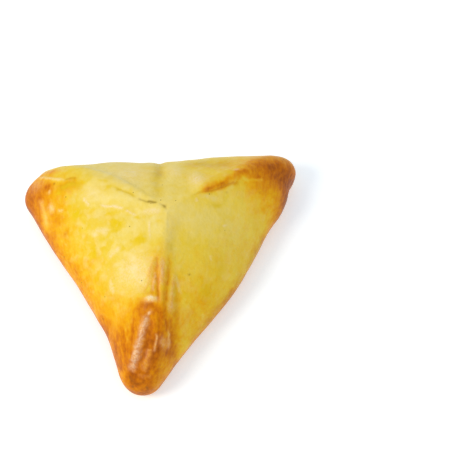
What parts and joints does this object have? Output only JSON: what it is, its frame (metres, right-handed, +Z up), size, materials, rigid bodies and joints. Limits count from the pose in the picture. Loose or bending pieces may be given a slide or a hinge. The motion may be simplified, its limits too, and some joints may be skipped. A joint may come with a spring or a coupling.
{
  "type": "sfiha",
  "caption": "Closed triangular sfiha: egg-washed bread dough folded over a filling, with seams that climb from its browned corners to a low peak, and a flat underside.",
  "frame": {"origin": "on the flat underside, in the middle of the pie's own box in plan", "axes": "+X runs from the left corner to the right corner, -Y points to the pleated front corner, +Z is up"},
  "size_m": [0.1119, 0.1056, 0.0366],
  "materials": {
    "crust": "egg-washed and baked golden, glossy"
  },
  "bodies": {
    "root": {"sfiha": "crust"}
  },
  "joints": []
}
